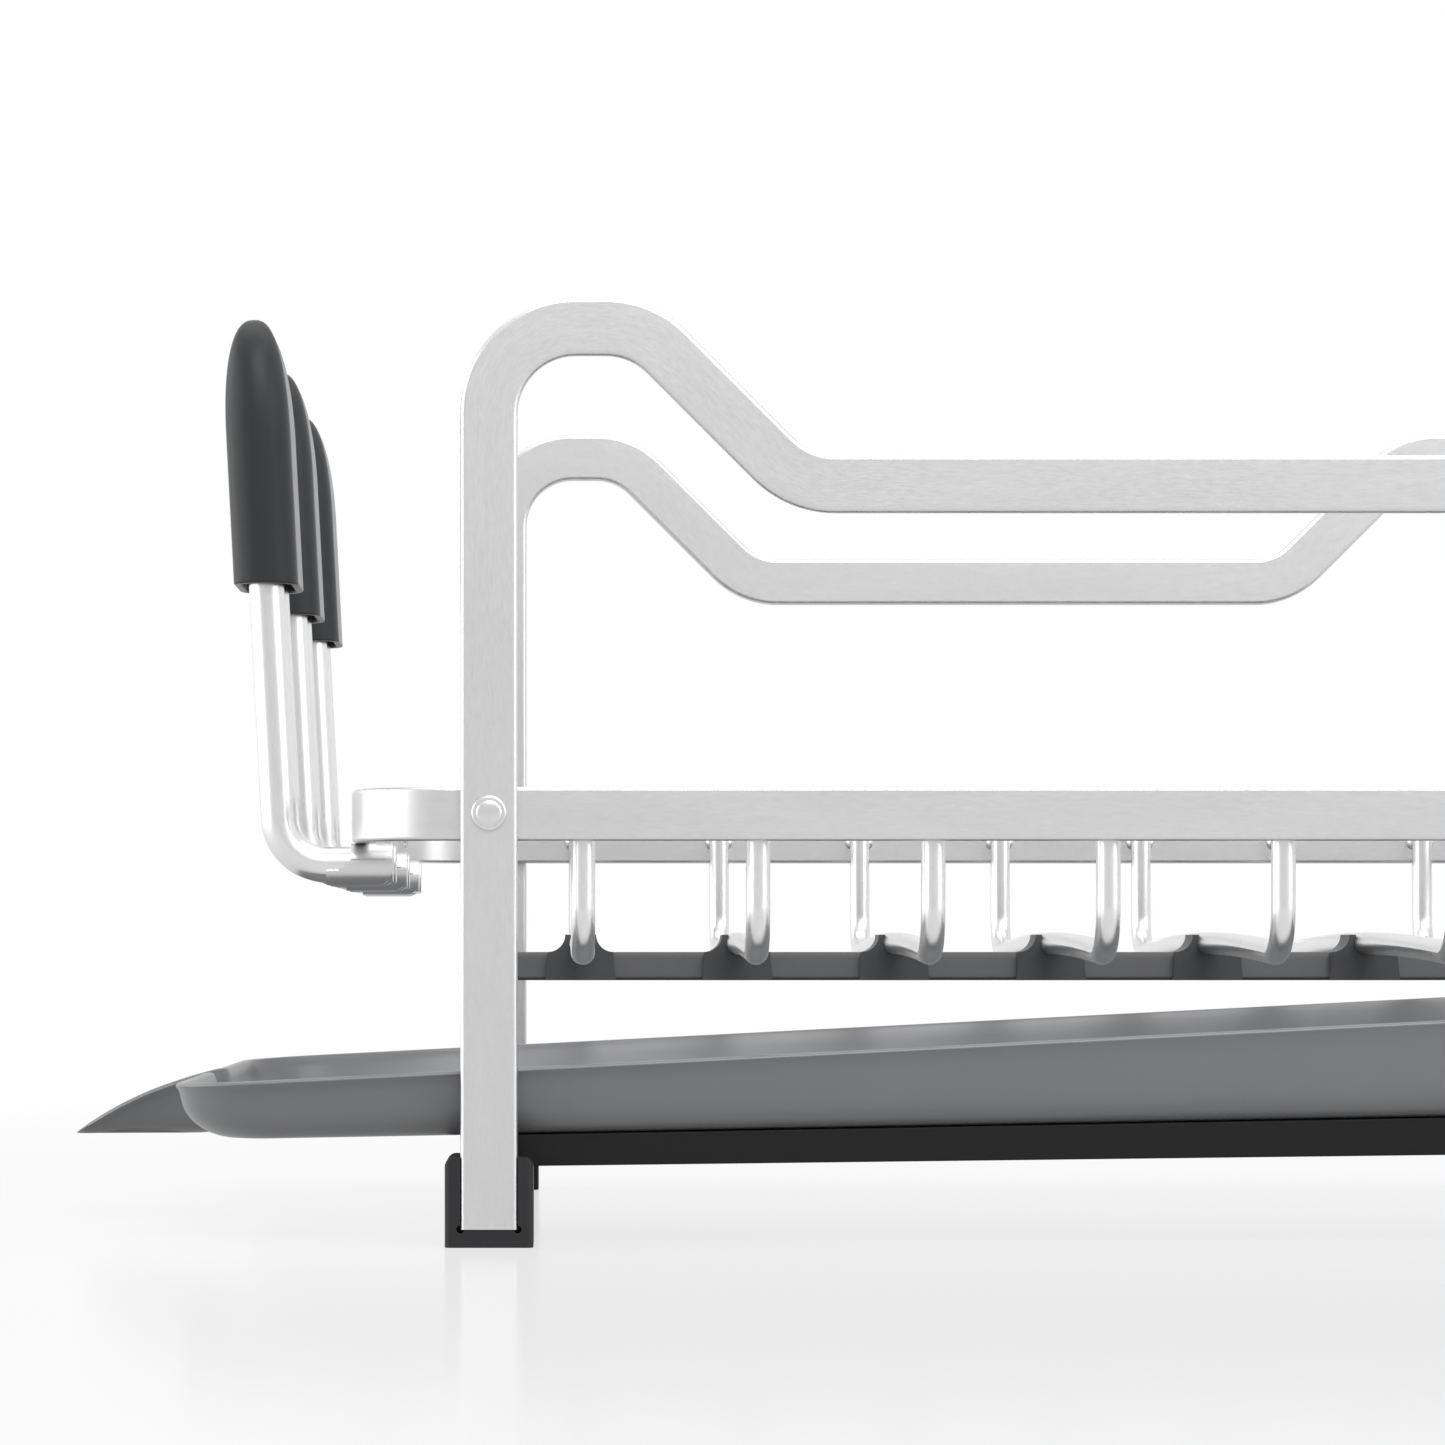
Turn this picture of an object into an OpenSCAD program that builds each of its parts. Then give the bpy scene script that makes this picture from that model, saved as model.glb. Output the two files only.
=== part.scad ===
// Dish drying rack: two bent flat-bar arches carry a flat-bar basket rim with U-shaped
// plate wires, a sloping drip tray slides out below, and three gripped cup hoops plug in
// under the left end of the rim.
// Millimetres. X runs along the rack, Y from front to rear, Z up from the worktop.

/* [Arches] */
// Distance between the centre lines of an arch's two legs
leg_span = 305; // [295:1:320]
// Depth over the outer faces of the two arches
rack_depth = 270; // [240:1:320]
// Height of the arch crowns above the worktop
arch_height = 223.5; // [215:0.5:240]
// How far the middle of an arch dips below its crowns
dip_drop = 37; // [30:1:45]
// Straight length on top of each crown
crown_flat = 7; // [2:1:14]
// Centre-line radius of every bend in an arch
arch_bend = 20.5; // [16:0.5:22]
// Width of the arch's flat bar
arch_bar_w = 13.5; // [12:0.5:14]
// Thickness of all flat bar
bar_t = 4; // [3:0.5:5]

/* [Basket] */
// Length over the outside of the rim
rim_length = 372; // [350:1:380]
// Width of the rim's flat bar, which stands on edge
rim_bar_w = 12.7; // [11:0.1:14]
// Height of the rim's top edge above the worktop
rim_top = 108.6; // [104:0.2:112]
// Centre-line radius of the rim's corners
rim_bend = 22; // [14:1:30]
// Diameter of a plate wire
wire_d = 5.8; // [5:0.1:6.2]
// Distance between plate wires
wire_pitch = 41.6; // [36:0.1:42]
// Number of plate wires, each with its own node
wire_count = 7; // [7:1:7]
// Distance from the left leg to the first wire
wire_first = 22.2; // [20:0.1:30]
// Height of the wires' centre line at its lowest
wire_floor = 69.4; // [68:0.1:72]
// Radius of the slight upward bow in a wire's run
wire_sweep = 2550; // [2000:50:5000]
// Centre-line radius of a wire's bends
wire_bend = 11; // [8:1:14]

/* [Drip tray] */
// Top edge of the tray's left end wall, from the middle of the arches
tray_left = 228.7; // [220:0.1:232]
// Top edge of the tray's right end wall, from the middle of the arches
tray_right = 190; // [188:1:200]
// Height of the tray's top edge at its left end
tray_low = 38; // [36:0.5:39]
// Slope of the tray's top edge, in degrees
tray_top_slope = 2.93; // [2:0.01:3]
// Slope of the tray's floor and of the rails, in degrees
tray_floor_slope = 1.05; // [0.8:0.01:1.1]
// Wall thickness of the tray
tray_wall = 2.5; // [2:0.1:3]
// How far the spout reaches past the end wall
spout_reach = 36.3; // [30:0.1:38]

/* [Cup hoops] */
// Number of cup hoops, each with its own nodes
hoop_count = 3; // [3:1:3]
// Distance between hoops
hoop_pitch = 95; // [80:1:98]
// Diameter of the hoop rod
hoop_d = 8.5; // [7:0.5:8.5]
// Distance between the two legs of one hoop
hoop_gap = 19; // [17:1:22]
// Outward lean of the hoops, in degrees
hoop_lean = 3; // [0:0.1:5]
// Height of a grip's top above the worktop
grip_top = 223.9; // [200:0.1:225]
// Height of a grip's open hem above the worktop
grip_hem = 158.4; // [150:0.1:165]

/* [Hidden] */

ALUMINIUM = "silver";
GREY_PLASTIC = "dimgray";
DARK_PLASTIC = "#3a3b3d";
BLACK_PLASTIC = "#151515";
EPS = 0.01;
LAP = 0.2;
SLIM = 0.01;
$slim = 0;
ROD_FN = 48;
BEND_FN = 96;

// The origin is under the middle of the whole object, which reaches further left than right.
left_end = tray_left + spout_reach;
shift_x = (left_end - tray_right) / 2;
half_depth = rack_depth / 2;
leg_x = leg_span / 2;

// Arches
bar_edge = 1.2;
foot_base = 4.3;
crown_line = arch_height - arch_bar_w / 2;
leg_run = crown_line - arch_bend - foot_base;
slope_run = (dip_drop - 2 * arch_bend * (1 - cos(45))) / sin(45);
crown_run = arch_bend + crown_flat + 2 * arch_bend * sin(45) + slope_run * cos(45);
dip_run = leg_span - 2 * crown_run;

// Rim and rivets
rim_edge = 1;
rim_front = half_depth - bar_t;
rim_mid = rim_top - rim_bar_w / 2;
rivet_d = 5;
rivet_head_d = 8.3;
rivet_head_t = 1.3;

// Wires and their rail
wire_r = wire_d / 2;
wire_leg_r = wire_r - 0.1;
wire_line = rim_front - bar_t - wire_leg_r;
wire_span = wire_line - wire_bend;
wire_turn = asin(wire_span / (wire_sweep + wire_bend));
wire_mid = wire_floor + (wire_sweep + wire_bend) * (1 - cos(wire_turn));
SWEEP_FN = 2400;
wire_top = rim_top - 2;
first_wire_x = -leg_x + wire_first;
rail_floor = 62.1;
rail_top = 69.6;
rail_t = 9.6;
rail_crest = 6.6;
rail_rounds = [0.8, 2];
rail_end = 20;
saddle_t = 13.4;
saddle_w = 17.4;
saddle_foot = 9.3;
saddle_cut = 4.6;
saddle_mouth = 4.8;
wire_fit = 0.05;

// Feet and tray rails
foot_w = 20.9;
foot_h = 21.2;
foot_depth = 25.5;
foot_set_back = 0.3;
foot_round = 1.6;
rail_seat = 18.4;
rail_near = 13;
rail_w = 10;
rail_stop = 3.5;
rail_skin = 2.4;
rib_pitch = 28;

// Tray
tray_half = half_depth - bar_t - 1;
tray_top_corner = 24;
tray_round = [14, 8, 11];
tray_draft = 3;
tray_bed = 24.6;
spout_w = 58;
spout_tip_w = 16;
spout_bed = 22;
spout_tip_z = 21.4;
spout_curve = 95;
spout_dive = 12.4;

// Hoops, grips and sockets
hoop_r = hoop_d / 2;
spigot_r = hoop_r - 0.1;
hoop_line = 90.8;
hoop_end = -176.2;
arm_run = 16.25;
hoop_bend = 11.5;
hoop_foot_x = hoop_end - arm_run - hoop_bend * cos(hoop_lean);
hoop_foot_z = hoop_line + hoop_bend * (1 - sin(hoop_lean));
grip_roof = 4;
grip_r = 7.85;
grip_nose = 30;
grip_levels = 9;
grip_power = 2.3;
hem_wall = 1.9;
hem_depth = 7;
hoop_turn_z = grip_top - grip_roof - hoop_r - hoop_gap / 2;
socket_run = 11.6;
socket_fit = 0.05;
socket_wall = 0.85;
lip_run = 4.4;
lip_drop = 1.7;
seam_rise = 1.3;
seam_w = 0.6;
seam_end = 1.6;
socket_round = 4;
strap_t = 1.5;
strap_w = 16;
strap_top = rim_top - 2;
small_rivet_d = 3.2;
small_head_d = 6;
small_head_t = 1;
small_rivet_gap = 9;
small_rivet_z = rim_mid - 0.5;

function wire_x(i) = first_wire_x + i * wire_pitch;
function hoop_y(i) = (i - (hoop_count - 1) / 2) * hoop_pitch;
function bed_z(x) = tray_bed + (x + tray_left) * tan(tray_floor_slope);

// ---- Bar, rod and bend ----

// Flat bar section with eased edges, w along X and t along Y
module bar_section(w, t, edge) {
    x = w / 2 - edge;
    y = t / 2 - edge;
    r = edge - $slim;
    square([2 * x, 2 * (y + r)], center = true);
    square([2 * (x + r), 2 * y], center = true);
    for (sx = [-1, 1], sy = [-1, 1]) translate([sx * x, sy * y]) circle(r, $fn = 24);
}

// Sweeps a section along straights and bends in the XY plane, starting towards +Y.
// Each step is [straight length, turn in degrees, left is positive]. With a lap, the
// straights reach that far into the bends, whose section is a hair slimmer, to fuse.
module swept(steps, radius, lap = 0, i = 0) {
    if (i < len(steps)) {
        run = steps[i][0];
        turn = steps[i][1];
        side = sign(turn);
        from = i == 0 ? 0 : -lap;
        to = i == len(steps) - 1 ? run : run + lap;
        translate([0, from, 0]) rotate([-90, 0, 0]) linear_extrude(to - from) children();
        translate([0, run, 0]) {
            if (side != 0) mirror([side < 0 ? 1 : 0, 0, 0]) translate([-radius, 0, 0])
                let($slim = lap > 0 ? SLIM : 0) rotate_extrude(angle = abs(turn), $fn = BEND_FN)
                    translate([radius, 0]) children();
            translate([-side * radius, 0, 0]) rotate([0, 0, turn]) translate([side * radius, 0, 0])
                swept(steps, radius, lap, i + 1) children();
        }
    }
}

// Cylinder along +Y
module rod_y(r, length) {
    rotate([-90, 0, 0]) cylinder(r = r, h = length, $fn = ROD_FN);
}

// Cylinder along +X
module rod_x(r, length) {
    rotate([0, 90, 0]) cylinder(r = r, h = length, $fn = ROD_FN);
}

// ---- Arches and rim ----

// One arch, its outer face at y = 0 and its thickness towards +Y
module arch() {
    color(ALUMINIUM) difference() {
        translate([-leg_x, bar_t / 2, foot_base]) rotate([90, 0, 0])
            swept([[leg_run, -90], [crown_flat, -45], [slope_run, 45], [dip_run, 45],
                [slope_run, -45], [crown_flat, -90], [leg_run, 0]], arch_bend, LAP)
                bar_section(arch_bar_w, bar_t, bar_edge);
        for (side = [-1, 1])
            translate([side * leg_x, -EPS, rim_mid]) rod_y(rivet_d / 2, bar_t + 2 * EPS);
    }
}

module front_arch() {
    translate([0, -half_depth, 0]) arch();
}

module rear_arch() {
    rotate([0, 0, 180]) front_arch();
}

// Closed loop of flat bar on edge, drilled for the arch rivets and the socket rivets
module basket_rim() {
    side_x = rim_length - bar_t - 2 * rim_bend;
    side_y = 2 * rim_front - bar_t - 2 * rim_bend;
    color(ALUMINIUM) difference() {
        translate([-side_x / 2, bar_t / 2 - rim_front, rim_mid]) rotate([0, 0, -90])
            swept([[side_x, 90], [side_y, 90], [side_x, 90], [side_y, 90]], rim_bend)
                bar_section(bar_t, rim_bar_w, rim_edge);
        for (side = [-1, 1], face = [-1, 1])
            translate([side * leg_x, face * (rim_front - bar_t / 2) - bar_t, rim_mid])
                rod_y(rivet_d / 2, 2 * bar_t);
        socket_rivet_places() translate([-EPS, 0, 0]) rod_x(small_rivet_d / 2, bar_t + 2 * EPS);
    }
}

// Rivet with its outer head at y < 0, through the arch and the rim
module arch_rivet() {
    rod_y(rivet_d / 2, 2 * bar_t);
    dome = rivet_head_d / 2;
    rotate([90, 0, 0]) rotate_extrude($fn = ROD_FN) {
        square([dome - 0.5, rivet_head_t]);
        square([dome, rivet_head_t - 0.5]);
        translate([dome - 0.5, rivet_head_t - 0.5]) circle(0.5, $fn = 24);
    }
    translate([0, 2 * bar_t, 0]) rod_y(rivet_d * 0.75, 1);
}

module arch_rivets() {
    color("lightgray") for (turn = [0, 180], side = [-1, 1])
        rotate([0, 0, turn]) translate([side * leg_x, -half_depth, rim_mid]) arch_rivet();
}

// ---- Plate wires and their rail ----

// Front half of a wire: leg, bend and half of the bowed run, which ends at y = 0
module wire_half() {
    difference() {
        union() {
            translate([0, -wire_line, wire_floor + wire_bend - 1])
                cylinder(r = wire_leg_r, h = wire_top - wire_floor - wire_bend + 1, $fn = 32);
            translate([0, -wire_span, wire_floor + wire_bend]) rotate([wire_turn, 0, 0])
                rotate([90, 0, 90]) mirror([1, 0, 0]) {
                    rotate([0, 0, -90]) rotate_extrude(angle = 90 + wire_turn, $fn = BEND_FN)
                        translate([wire_bend, 0]) circle(wire_r, $fn = 32);
                    translate([0, -wire_bend - wire_sweep, 0]) rotate([0, 0, 90])
                        rotate_extrude(angle = wire_turn + 0.2, $fn = SWEEP_FN)
                            translate([wire_sweep, 0]) circle(wire_r, $fn = 32);
                }
        }
        translate([-wire_d, 0, 0]) cube([2 * wire_d, 2 * wire_d, wire_top]);
    }
}

module plate_wire(i) {
    color("gainsboro") translate([wire_x(i), 0, 0]) {
        wire_half();
        mirror([0, 1, 0]) wire_half();
    }
}

// Pair of flared ears, cut to the wire, seen along Y with the wire's centre at the origin
module saddle_section() {
    base = rail_top - wire_mid;
    difference() {
        translate([-saddle_w / 2, base - 1]) square([saddle_w, saddle_cut + 1]);
        for (side = [-1, 1])
            translate([side * saddle_w / 2, base + saddle_cut]) circle(saddle_cut, $fn = ROD_FN);
        circle(wire_r + wire_fit, $fn = ROD_FN);
        translate([-saddle_mouth / 2, 0]) square([saddle_mouth, saddle_w]);
    }
}

// Points of a rounded corner, from one direction to another
function corner(centre, r, from, to, count = 6) =
    [for (k = [0 : count]) let(a = from + (to - from) * k / count) centre + r * [cos(a), sin(a)]];

// Section of the rail: its sides lean in towards a rounded top
module rail_section() {
    low = rail_rounds[0];
    high = rail_rounds[1];
    foot_x = rail_t / 2 - low;
    crest_x = rail_crest / 2 - high;
    crest_y = rail_top - rail_floor - high;
    tilt = atan2(foot_x - crest_x + low - high, crest_y - low);
    polygon(concat(corner([foot_x, low], low, -90, tilt), corner([crest_x, crest_y], high, tilt, 90),
        corner([-crest_x, crest_y], high, 90, 180 - tilt), corner([-foot_x, low], low, 180 - tilt, 270)));
}

// Moulded cross rail with a snap saddle for each wire
module wire_rail() {
    from = wire_x(0) - rail_end;
    to = wire_x(wire_count - 1) + rail_end;
    color(DARK_PLASTIC) difference() {
        union() {
            translate([from, 0, rail_floor]) rotate([90, 0, 90]) linear_extrude(to - from) rail_section();
            for (i = [0 : wire_count - 1]) translate([wire_x(i), saddle_t / 2, 0]) rotate([90, 0, 0]) {
                translate([0, wire_mid]) linear_extrude(saddle_t) saddle_section();
                linear_extrude(saddle_t) polygon([[-saddle_foot, rail_floor], [saddle_foot, rail_floor],
                    [saddle_w / 2, rail_top - 1 + EPS], [-saddle_w / 2, rail_top - 1 + EPS]]);
            }
        }
        for (i = [0 : wire_count - 1])
            translate([wire_x(i), -saddle_t, wire_mid]) rod_y(wire_r + wire_fit, 2 * saddle_t);
    }
}

// ---- Feet and tray rails ----

// Boot for one leg: the leg's outer face is at y = 0, and the rack's middle is towards +X
module foot() {
    slot = arch_bar_w / 2;
    color(DARK_PLASTIC) difference() {
        intersection() {
            translate([0, foot_depth, 0]) rotate([90, 0, 0]) linear_extrude(foot_depth - foot_set_back)
                boot_front();
            linear_extrude(foot_h) translate([0, (foot_depth + foot_set_back) / 2])
                bar_section(foot_w, foot_depth - foot_set_back, foot_round);
        }
        translate([-slot, 0, foot_base]) cube([2 * slot, bar_t, foot_h]);
        for (side = [-1, 1]) translate([side * slot, 0, foot_base]) rod_y(0.9, bar_t);
        translate([-foot_w / 2 + rail_stop, rail_near, rail_seat]) cube([foot_w, rail_w, foot_h]);
        translate([0, foot_depth / 2 + bar_t, -EPS]) cylinder(r = 5, h = 1.5, $fn = ROD_FN);
    }
}

// Front outline of a boot, with rounded shoulders
module boot_front() {
    shoulder = 2.2;
    translate([-foot_w / 2, 0]) square([foot_w, foot_h - shoulder]);
    translate([-foot_w / 2 + shoulder, 0]) square([foot_w - 2 * shoulder, foot_h]);
    for (side = [-1, 1]) translate([side * (foot_w / 2 - shoulder), foot_h - shoulder])
        circle(shoulder, $fn = ROD_FN);
}

// side is -1 for left and 1 for right, face is -1 for front and 1 for rear
module placed_foot(side, face) {
    mirror([0, face > 0 ? 1 : 0, 0]) mirror([side > 0 ? 1 : 0, 0, 0])
        translate([-leg_x, -half_depth, 0]) foot();
}

// Sloping rail that carries one long edge of the tray, open and ribbed on its inner side
module tray_rail() {
    end = leg_x + foot_w / 2 - rail_stop;
    bed = [bed_z(-end), bed_z(end)];
    lift = 3.6;
    reach = end - foot_w;
    color(BLACK_PLASTIC) translate([0, rail_near + rail_w - half_depth, 0]) rotate([90, 0, 0])
        difference() {
            linear_extrude(rail_w) polygon([[-end, rail_seat], [reach, rail_seat + lift],
                [reach, rail_seat], [end, rail_seat], [end, bed[1]], [-end, bed[0]]]);
            translate([0, 0, -EPS]) linear_extrude(rail_w - rail_skin)
                rail_pockets(reach, lift);
        }
}

// Pockets between the ribs, under a top flange of even thickness
module rail_pockets(reach, lift) {
    count = floor(2 * reach / rib_pitch);
    pitch = 2 * reach / count;
    slope = lift / (2 * reach);
    for (i = [0 : count - 1]) {
        a = -reach + i * pitch + rail_skin / 2;
        b = a + pitch - rail_skin;
        polygon([[a, rail_seat + slope * (a + reach) + rail_skin],
            [b, rail_seat + slope * (b + reach) + rail_skin],
            [b, bed_z(b) - rail_skin], [a, bed_z(a) - rail_skin]]);
    }
}

// ---- Drip tray ----

// Space under the tray's sloping top edge
module under_tray_top() {
    big = 700;
    translate([-tray_left, 0, tray_low]) rotate([0, -tray_top_slope, 0])
        translate([-big / 4, -big / 2, -big]) cube([big, big, big]);
}

// Solid form of the tray, shrunk on all sides by inset
module tray_form(inset) {
    round = [for (r = tray_round) r - inset];
    corner = tray_top_corner - inset;
    ends = [-tray_left, tray_right];
    hull() for (e = [0, 1], side = [-1, 1]) {
        out = e == 0 ? -1 : 1;
        low_x = ends[e] - out * (tray_draft + tray_round[0]);
        low_y = side * (tray_half - tray_draft - tray_round[1]);
        translate([low_x, low_y, bed_z(low_x) + tray_round[2]])
            scale(round / round[2]) sphere(round[2], $fn = 32);
        translate([ends[e] - out * tray_top_corner, side * (tray_half - tray_top_corner), 0])
            translate([0, 0, tray_low + (ends[e] + tray_left) * tan(tray_top_slope) - 0.5])
                cylinder(r = corner, h = 12, $fn = 48);
    }
}

// Solid form of the spout, shrunk by inset and open upwards where up is large
module spout_form(inset, up) {
    root = -tray_left + 22;
    tip = -left_end + spout_tip_w / 2;
    hull() {
        for (side = [-1, 1]) translate([root, side * (spout_w / 2 - 8), spout_bed + 8])
            sphere(8 - inset, $fn = 32);
        translate([tip, 0, spout_tip_z + inset]) cylinder(r = spout_tip_w / 2 - inset, h = 6, $fn = 32);
        translate([root, -spout_w / 2 + inset, spout_bed + 8])
            cube([1, spout_w - 2 * inset, up]);
        translate([tip, 0, spout_tip_z + inset]) cylinder(r = spout_tip_w / 2 - inset, h = up, $fn = 32);
    }
}

// Space under the spout's curved top edge
module under_spout_top() {
    translate([-tray_left + spout_curve * sin(spout_dive), -half_depth,
        tray_low - spout_curve * cos(spout_dive)]) rod_y(spout_curve, rack_depth);
}

module drip_tray() {
    color(GREY_PLASTIC) difference() {
        union() {
            intersection() {
                tray_form(0);
                under_tray_top();
            }
            intersection() {
                spout_form(0, 20);
                under_spout_top();
                under_tray_top();
            }
        }
        tray_form(tray_wall);
        spout_form(tray_wall, 40);
    }
}

// ---- Cup hoops ----

// Rod bent to a hairpin with two feet, whose necked ends plug into a socket
module cup_hoop(i) {
    rise = (hoop_turn_z - hoop_foot_z) / cos(hoop_lean);
    color("gainsboro") translate([0, hoop_y(i), 0]) {
        for (side = [-1, 1])
            translate([hoop_end - arm_run - 1, side * hoop_gap / 2, hoop_line]) rod_x(spigot_r, arm_run + 1);
        translate([hoop_foot_x, 0, hoop_foot_z]) rotate([0, -hoop_lean, 0]) {
            for (side = [-1, 1]) translate([0, side * hoop_gap / 2, 0]) {
                cylinder(r = hoop_r, h = rise, $fn = ROD_FN);
                translate([hoop_bend, 0, 0]) rotate([90, 0, 0]) rotate([0, 0, 180])
                    rotate_extrude(angle = 90 - hoop_lean, $fn = BEND_FN)
                        translate([hoop_bend, 0]) circle(hoop_r, $fn = ROD_FN);
            }
            translate([0, 0, rise]) rotate([90, 0, 90]) rotate_extrude(angle = 180, $fn = BEND_FN)
                translate([hoop_gap / 2, 0]) circle(hoop_r, $fn = ROD_FN);
        }
    }
}

// Soft sleeve over the top of a hoop, open at its hem, with a blunt rounded nose
module hoop_grip(i) {
    lean_x = function(z) hoop_foot_x - (z - hoop_foot_z) * tan(hoop_lean);
    shrink = function(t) pow(1 - pow(t, grip_power), 1 / grip_power);
    hem_y = hoop_gap / 2 + grip_r;
    nose_z = grip_top - grip_nose;
    color(DARK_PLASTIC) difference() {
        translate([0, hoop_y(i), 0]) hull() for (side = [-1, 1]) {
            translate([lean_x(grip_hem), side * hoop_gap / 2, grip_hem]) cylinder(r = grip_r, h = EPS, $fn = 32);
            for (k = [0 : grip_levels]) let(t = sin(90 * k / grip_levels), r = max(grip_r * shrink(t), 0.5),
                    z = nose_z + t * grip_nose)
                translate([lean_x(z), side * max(hem_y * shrink(t) - r, 0.01), z - EPS])
                    cylinder(r = r, h = EPS, $fn = 32);
        }
        cup_hoop(i);
        translate([lean_x(grip_hem), hoop_y(i), grip_hem - EPS]) linear_extrude(hem_depth)
            bar_section(2 * (grip_r - hem_wall), 2 * (hem_y - hem_wall), grip_r - hem_wall - EPS);
    }
}

// Side view of what is cut from a sleeve's mouth: an S-shaped edge from its lower lip up to its
// seam. The sleeve's axis is at y = 0.
module mouth_cut() {
    r = (lip_drop + seam_rise) / 2;
    mid = seam_rise - r;
    mouth_x = hoop_end - socket_run;
    far = 2 * hoop_d;
    translate([mouth_x - far, mid]) square([far, far]);
    translate([mouth_x - far, -lip_drop]) square([far - r, far]);
    translate([mouth_x - r, mid]) circle(r, $fn = ROD_FN);
    difference() {
        translate([mouth_x - EPS, mid]) square([r + EPS, far]);
        translate([mouth_x + r, mid]) circle(r, $fn = ROD_FN);
    }
}

// Side view of what is cut from a sleeve's far end, to round its lower corner
module end_cut(outer) {
    difference() {
        translate([hoop_end - socket_round, -outer - EPS]) square([socket_round + 1, socket_round + EPS]);
        translate([hoop_end - socket_round, socket_round - outer]) circle(socket_round, $fn = ROD_FN);
    }
}

// Twin rolled sleeves under the rim, on a strap that is riveted to the rim's inner face
module hoop_socket(i) {
    bore = spigot_r + socket_fit;
    outer = bore + socket_wall;
    strap_x = -rim_length / 2 + bar_t;
    sleeve_run = socket_run + lip_run;
    seam_x = hoop_end - socket_run + lip_drop;
    color(ALUMINIUM) translate([0, hoop_y(i), 0]) difference() {
        union() {
            for (side = [-1, 1])
                translate([hoop_end - sleeve_run, side * hoop_gap / 2, hoop_line]) rod_x(outer, sleeve_run);
            translate([strap_x, -hoop_gap / 2, hoop_line - 2]) cube([strap_t, hoop_gap, 4]);
            translate([strap_x, -strap_w / 2, hoop_line]) cube([strap_t, strap_w, strap_top - hoop_line]);
        }
        translate([0, hoop_gap, hoop_line]) rotate([90, 0, 0]) linear_extrude(2 * hoop_gap) {
            mouth_cut();
            end_cut(outer);
        }
        for (side = [-1, 1]) {
            translate([hoop_end - sleeve_run - 1, side * hoop_gap / 2, hoop_line])
                rod_x(bore, sleeve_run + 2);
            translate([seam_x - 1, side * (hoop_gap / 2 + hoop_r) - hoop_r / 2, hoop_line + seam_rise - seam_w])
                cube([hoop_end - seam_end - seam_x + 1, hoop_r, seam_w]);
            translate([strap_x - EPS, side * small_rivet_gap / 2, small_rivet_z])
                rod_x(small_rivet_d / 2, strap_t + 2 * EPS);
        }
    }
}

// Puts its child at the rim's outer left face at every socket rivet
module socket_rivet_places() {
    for (i = [0 : hoop_count - 1], side = [-1, 1])
        translate([-rim_length / 2, hoop_y(i) + side * small_rivet_gap / 2, small_rivet_z]) children();
}

module socket_rivets() {
    color("lightgray") socket_rivet_places() {
        rod_x(small_rivet_d / 2, bar_t + strap_t);
        translate([-small_head_t, 0, 0]) rod_x(small_head_d / 2, small_head_t);
        translate([bar_t + strap_t, 0, 0]) rod_x(small_rivet_d * 0.75, 0.8);
    }
}

// ---- Nodes ----

translate([shift_x, 0, 0]) {
    front_arch();
    rear_arch();
    basket_rim();
    arch_rivets();
    for (i = [0 : wire_count - 1])
        plate_wire(i);
    wire_rail();
    placed_foot(-1, -1);  // foot_front_left
    placed_foot(1, -1);  // foot_front_right
    placed_foot(-1, 1);  // foot_rear_left
    placed_foot(1, 1);  // foot_rear_right
    tray_rail();  // tray_rail_front
    mirror([0, 1, 0]) tray_rail();  // tray_rail_rear
    drip_tray();
    for (i = [0 : hoop_count - 1]) {
        cup_hoop(i);
        hoop_grip(i);
        hoop_socket(i);
    }
    socket_rivets();
}
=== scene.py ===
"""Dish drying rack: the looks of every piece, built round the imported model."""

import math

import bmesh
import bpy
from bpy.props import FloatProperty, FloatVectorProperty, PointerProperty
from bpy.types import Operator, Panel, PropertyGroup
from mathutils import Matrix, Vector


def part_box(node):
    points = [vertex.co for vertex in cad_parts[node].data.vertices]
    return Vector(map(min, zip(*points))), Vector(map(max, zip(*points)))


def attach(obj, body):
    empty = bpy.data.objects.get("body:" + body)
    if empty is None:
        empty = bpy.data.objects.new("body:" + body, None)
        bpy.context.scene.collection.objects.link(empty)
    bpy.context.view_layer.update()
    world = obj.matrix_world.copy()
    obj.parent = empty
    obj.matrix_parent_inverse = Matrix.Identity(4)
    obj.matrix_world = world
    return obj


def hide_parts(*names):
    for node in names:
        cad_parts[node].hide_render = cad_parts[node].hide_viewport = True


bl_info = {
    "name": "Dish Drying Rack",
    "version": (1, 0, 0),
    "blender": (4, 5, 0),
    "location": "View3D > Sidebar > Rack",
    "description": "Builds a dish drying rack with a drip tray and cup hoops round its packed model",
    "category": "Object",
}

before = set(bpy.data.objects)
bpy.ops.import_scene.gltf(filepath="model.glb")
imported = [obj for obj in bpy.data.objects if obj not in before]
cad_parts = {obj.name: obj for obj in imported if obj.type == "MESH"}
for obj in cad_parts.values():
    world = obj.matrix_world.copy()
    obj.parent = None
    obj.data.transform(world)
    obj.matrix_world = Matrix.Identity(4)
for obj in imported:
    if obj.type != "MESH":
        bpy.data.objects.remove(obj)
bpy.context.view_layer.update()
MM = 0.001
# Points closer than this are one point.
WELD = 0.002 * MM
QUARTER = math.pi / 2


# ---- Places taken from the frame ----


def named(start):
    """The CAD nodes whose names start so, in order."""
    return sorted(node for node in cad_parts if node.startswith(start))


def centre(node):
    """Middle of a CAD node's box."""
    low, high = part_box(node)
    return (low + high) / 2


ARCH_LOW, ARCH_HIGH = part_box("front_arch")
REAR_LOW, REAR_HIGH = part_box("rear_arch")
RIM_LOW, RIM_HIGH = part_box("basket_rim")
TRAY_LOW, TRAY_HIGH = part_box("drip_tray")
MID_X = (ARCH_LOW.x + ARCH_HIGH.x) / 2
WIRES = named("plate_wire")
HOOPS = named("cup_hoop")


# ---- Properties ----


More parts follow.
